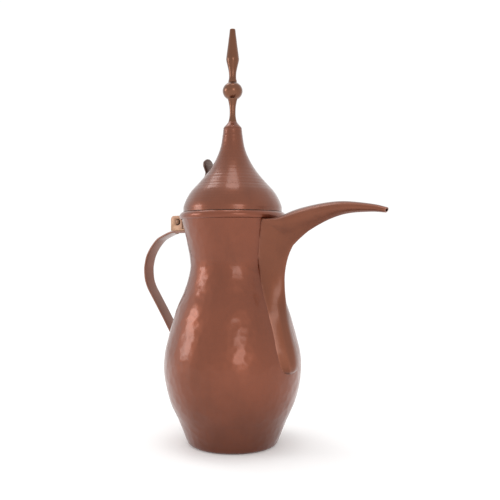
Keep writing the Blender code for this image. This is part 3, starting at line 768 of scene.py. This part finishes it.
def make_lid():
    """The spun cone of the lid: fine rings outside, a plain sheet inside."""
    outer = LID_CURVE.copy()
    bore, top = 1.5, outer[0, 1]
    edge_points = 7
    crown = fillet([(bore, top), (outer[0, 0], top), outer[edge_points - 1]], 0.2)
    outside = np.concatenate([crown, outer[edge_points:]])
    inside = spaced((outer - outward(outer) * SHEET)[::-1], 3.0)
    inside = np.concatenate([inside, [(bore, inside[-1][1])]])
    cell = 6.2
    dents = dent_field(ring_centres(LID_CURVE, cell, 21), cell, 0.13, 22)
    rng = np.random.default_rng(23)
    rings = [(rng.uniform(1.5, 3.4), rng.uniform(0, 6.28), rng.uniform(0.3, 1.0)) for _ in range(5)]
    marked = len(outside)
    along = np.concatenate([[0], np.cumsum(np.linalg.norm(np.diff(outside, axis=0), axis=1))])
    ridges = sum(size * (1 + np.sin(rate * along + phase)) for rate, phase, size in rings) / 10

    def depth(points):
        out = np.zeros(points.shape[:2])
        out[:marked] = dents(points[:marked]) + 0.15 * ridges[:, None]
        out[:len(crown)] = 0
        return out

    return turned("lid_cone", np.concatenate([outside, inside]), 320, LID_METAL, "lid",
                  ("lid_shell",), closed=True, depth=depth, sharp=45)


def make_sleeve():
    """The tinned tube that locates the lid in the mouth, with its flange up inside the lid."""
    low, high = bottom_of("lid_sleeve"), top_of("lid_sleeve")
    flange, radius, sheet = half_width_of("lid_sleeve"), 35.6, 0.8
    profile = [(flange, high), (flange, high - sheet), (radius, high - sheet), (radius, low),
               (radius - sheet, low), (radius - sheet, high), (flange, high)]
    return turned("lid_sleeve_ring", fillet(profile, 0.3)[:-1], 240, TIN_METAL, "lid",
                  ("lid_sleeve",), closed=True)


# Turned finial pieces: CAD node, new name, and its outside from the top down
FINIAL = [
    ("finial_spear", "finial_spearhead",
     [(0, 330.0), (2.0, 330.0), (2.3, 329.3), (2.7, 325.5), (3.2, 322.0), (3.8, 317.0), (4.5, 312.0),
      (5.0, 308.0), (5.2, 305.8), (4.9, 303.8), (4.4, 301.8), (3.6, 298.4), (3.0, 295.0), (2.9, 291.0),
      (3.4, 288.6), (3.5, 287.5)]),
    ("finial_ball", "finial_globe",
     [(2.2, 287.4), (4.6, 286.6), (6.7, 284.6), (7.8, 282.2), (8.0, 280.6), (7.8, 279.0), (6.7, 276.6),
      (4.6, 274.6), (2.2, 273.8)]),
    ("finial_stem", "finial_neck",
     [(3.9, 274.2), (3.3, 272.0), (2.6, 268.0), (2.4, 263.0), (2.7, 259.0), (3.4, 256.0), (3.5, 255.7)]),
    ("finial_cap", "finial_foot",
     [(3.5, 255.7), (4.7, 254.1), (6.0, 252.7), (6.9, 251.6), (7.3, 250.9), (7.38, 250.52)]),
]


def make_finial():
    """The turned stack on the lid, bored for its tie rod, with a blind hole in the spear."""
    bore, blind_depth, cell = 1.4, 8.0, 2.4
    for node, name, knots in FINIAL:
        curve = spaced(np.concatenate([knots[:1], spline(knots[1:], 8)]), 0.25)
        top, bottom = curve[0, 1], curve[-1, 1]
        solid = curve[0, 0] == 0
        inner = [(bore, bottom), (bore, top)]
        if solid:
            inner = [(bore, bottom), (bore, bottom + blind_depth), (0, bottom + blind_depth)]
        profile = np.concatenate([curve, inner])
        dents = dent_field(ring_centres(curve, cell, 31), cell, 0.03, 32)
        material = LID_METAL if node == "finial_cap" else FINIAL_METAL
        turned(name, profile, 96, material, "lid", (node,), closed=not solid, depth=dents, sharp=40)


# ---------------------------------------------------------------- rivets

RIVET_RADIUS = 1.2


def make_rivet(node, head_centre, direction, grip, material, body):
    """A hand-headed rivet: a low dome outside and a spread tail inside."""
    head, dome, tail = 1.9 * RIVET_RADIUS, 0.9 * RIVET_RADIUS, 1.5 * RIVET_RADIUS
    profile = [(head * math.sin(a), dome * math.cos(a)) for a in np.linspace(0, math.pi / 2, 12)]
    profile += [(head - 0.1, -0.12), (RIVET_RADIUS, -0.15), (RIVET_RADIUS, -grip), (tail, -grip),
                (0.8 * tail, -grip - 0.6 * RIVET_RADIUS), (0, -grip - 0.7 * RIVET_RADIUS)]
    turn = Vector(direction).to_track_quat("Z", "Y").to_matrix()
    dents = dent_field(np.random.default_rng(len(node)).uniform(-2.2, 2.2, (14, 3)), 1.3, 0.05, 5)

    def move(points):
        return points @ np.array(turn).T + np.array(head_centre)

    return turned(node + "_headed", profile, 32, material, body, (node,), depth=dents, move=move)


def tab_rivets(name, heights):
    """Two rivets through the strap's tab and the body's sheet."""
    for position, z in zip(("upper", "lower"), heights):
        out, up = outward_at(BODY_CURVE, z)
        lift = STRAP_THICKNESS + TOUCH
        centre = (-(radius_at(BODY_CURVE, z) + out * lift), 0, z + up * lift)
        make_rivet(f"{name}_{position}", centre, (-out, 0, up), lift + SHEET, STRAP_METAL, "pot")


def make_rivets():
    """The strap's, the bracket's and the lid's rivets, two of each."""
    tab_rivets("neck_rivet", (163.0, 157.6))
    tab_rivets("belly_rivet", (67.8, 62.0))
    seat = bottom_of("hinge_clevis") + CLEVIS_FLOOR
    for position, x in (("front", HINGE_X + 6.6), ("rear", HINGE_X - 4.6)):
        make_rivet(f"clevis_rivet_{position}", (x, 0, seat), (0, 0, 1), 3.4, HINGE_METAL, "pot")
    lift = LEAF_THICKNESS + LEVER_THICKNESS + 3 * TOUCH
    for position, z in (("upper", 201.4), ("lower", 196.2)):
        out, up = outward_at(LID_CURVE, z)
        x, height = lid_point(z, lift)
        # The lid's rivets take the same dark copper, its darkness painted shade.
        make_rivet(f"lid_rivet_{position}", (x, 0, height), (-out, 0, up), lift + SHEET, PAINTED_SHADE_METAL, "lid")


def finish_carried_nodes():
    """The tie rod and its nut and washer keep their CAD meshes and take a steel finish."""
    for node in ("finial_tie_rod", "finial_nut", "finial_washer"):
        obj = frame["nodes"][node]
        obj.data.materials.clear()
        obj.data.materials.append(STEEL_METAL)


# ---------------------------------------------------------------- studio

# The camera looks level at the pot. Angles are in radians, lengths in metres, and the shift is a
# share of the picture's width.
CAMERA_AZIMUTH = math.radians(38)
CAMERA_DISTANCE = 0.555
CAMERA_HEIGHT = 0.1536
CAMERA_SHIFT = 0.0348
LIGHT_AIM = Vector((0, 0, 0.14))
FLOOR_SPAN = 60.0


def around(azimuth_from_camera, elevation, distance):
    """A place round the pot, with azimuth measured to the right of the camera, in degrees."""
    azimuth = CAMERA_AZIMUTH + math.radians(azimuth_from_camera)
    rise = math.radians(elevation)
    direction = Vector((math.sin(azimuth) * math.cos(rise), -math.cos(azimuth) * math.cos(rise),
                        math.sin(rise)))
    return direction * distance + LIGHT_AIM


def area_light(name, place, width, height, radiance):
    """A soft box that faces the middle of the pot, as bright as radiance says."""
    data = bpy.data.lights.new(name, "AREA")
    data.shape = "RECTANGLE"
    data.size, data.size_y = width, height
    data.energy = radiance * math.pi * width * height
    light = bpy.data.objects.new(name, data)
    light.location = place
    light.rotation_mode = "QUATERNION"
    light.rotation_quaternion = (place - LIGHT_AIM).to_track_quat("Z", "Y")
    bpy.context.scene.collection.objects.link(light)


def make_lights():
    """A white room, two windows in front of the pot, and two boxes above and behind it."""
    world = bpy.data.worlds.new("studio_white")
    world.use_nodes = True
    background = world.node_tree.nodes["Background"]
    background.inputs["Color"].default_value = (1.0, 1.0, 1.0, 1.0)
    background.inputs["Strength"].default_value = 1.04
    bpy.context.scene.world = world

    area_light("left_window", around(-86, 12.5, 1.3), 0.42, 0.50, 4.3)
    area_light("front_window", around(12.5, 11, 1.3), 0.42, 0.48, 2.6)
    area_light("ceiling_box", around(0, 86, 1.2), 0.36, 0.40, 2.6)
    area_light("rear_box", around(-130, 60, 1.2), 0.34, 0.34, 3.0)


def make_floor():
    """White paper that runs out of sight, and glows a little so that it reads as white."""
    mesh = bpy.data.meshes.new("studio_floor")
    corners = [(-FLOOR_SPAN, -FLOOR_SPAN, 0), (FLOOR_SPAN, -FLOOR_SPAN, 0),
               (FLOOR_SPAN, FLOOR_SPAN, 0), (-FLOOR_SPAN, FLOOR_SPAN, 0)]
    mesh.from_pydata(corners, [], [(0, 1, 2, 3)])
    paper = bpy.data.materials.new("white_paper")
    paper.use_nodes = True
    shader = paper.node_tree.nodes["Principled BSDF"]
    shader.inputs["Base Color"].default_value = (0.955, 0.95, 0.948, 1.0)
    shader.inputs["Roughness"].default_value = 0.9
    shader.inputs["Specular IOR Level"].default_value = 0.1
    shader.inputs["Emission Color"].default_value = (1.0, 0.985, 0.985, 1.0)
    shader.inputs["Emission Strength"].default_value = 0.07
    mesh.materials.append(paper)
    floor = bpy.data.objects.new("studio_floor", mesh)
    bpy.context.scene.collection.objects.link(floor)


def make_camera():
    data = bpy.data.cameras.new("camera")
    data.lens = 50
    data.shift_x = CAMERA_SHIFT
    data.clip_start = 0.01
    camera = bpy.data.objects.new("camera", data)
    camera.location = (CAMERA_DISTANCE * math.sin(CAMERA_AZIMUTH),
                       -CAMERA_DISTANCE * math.cos(CAMERA_AZIMUTH), CAMERA_HEIGHT)
    camera.rotation_euler = (math.pi / 2, 0, CAMERA_AZIMUTH)
    bpy.context.scene.collection.objects.link(camera)
    bpy.context.scene.camera = camera
    bpy.context.scene.view_settings.view_transform = "Standard"


make_body()
make_base()
make_collar()
make_spout()
make_handle()
make_clevis()
make_pin()
make_leaf()
make_lever()
make_lid()
make_sleeve()
make_finial()
make_rivets()
finish_carried_nodes()
make_lights()
make_floor()
make_camera()
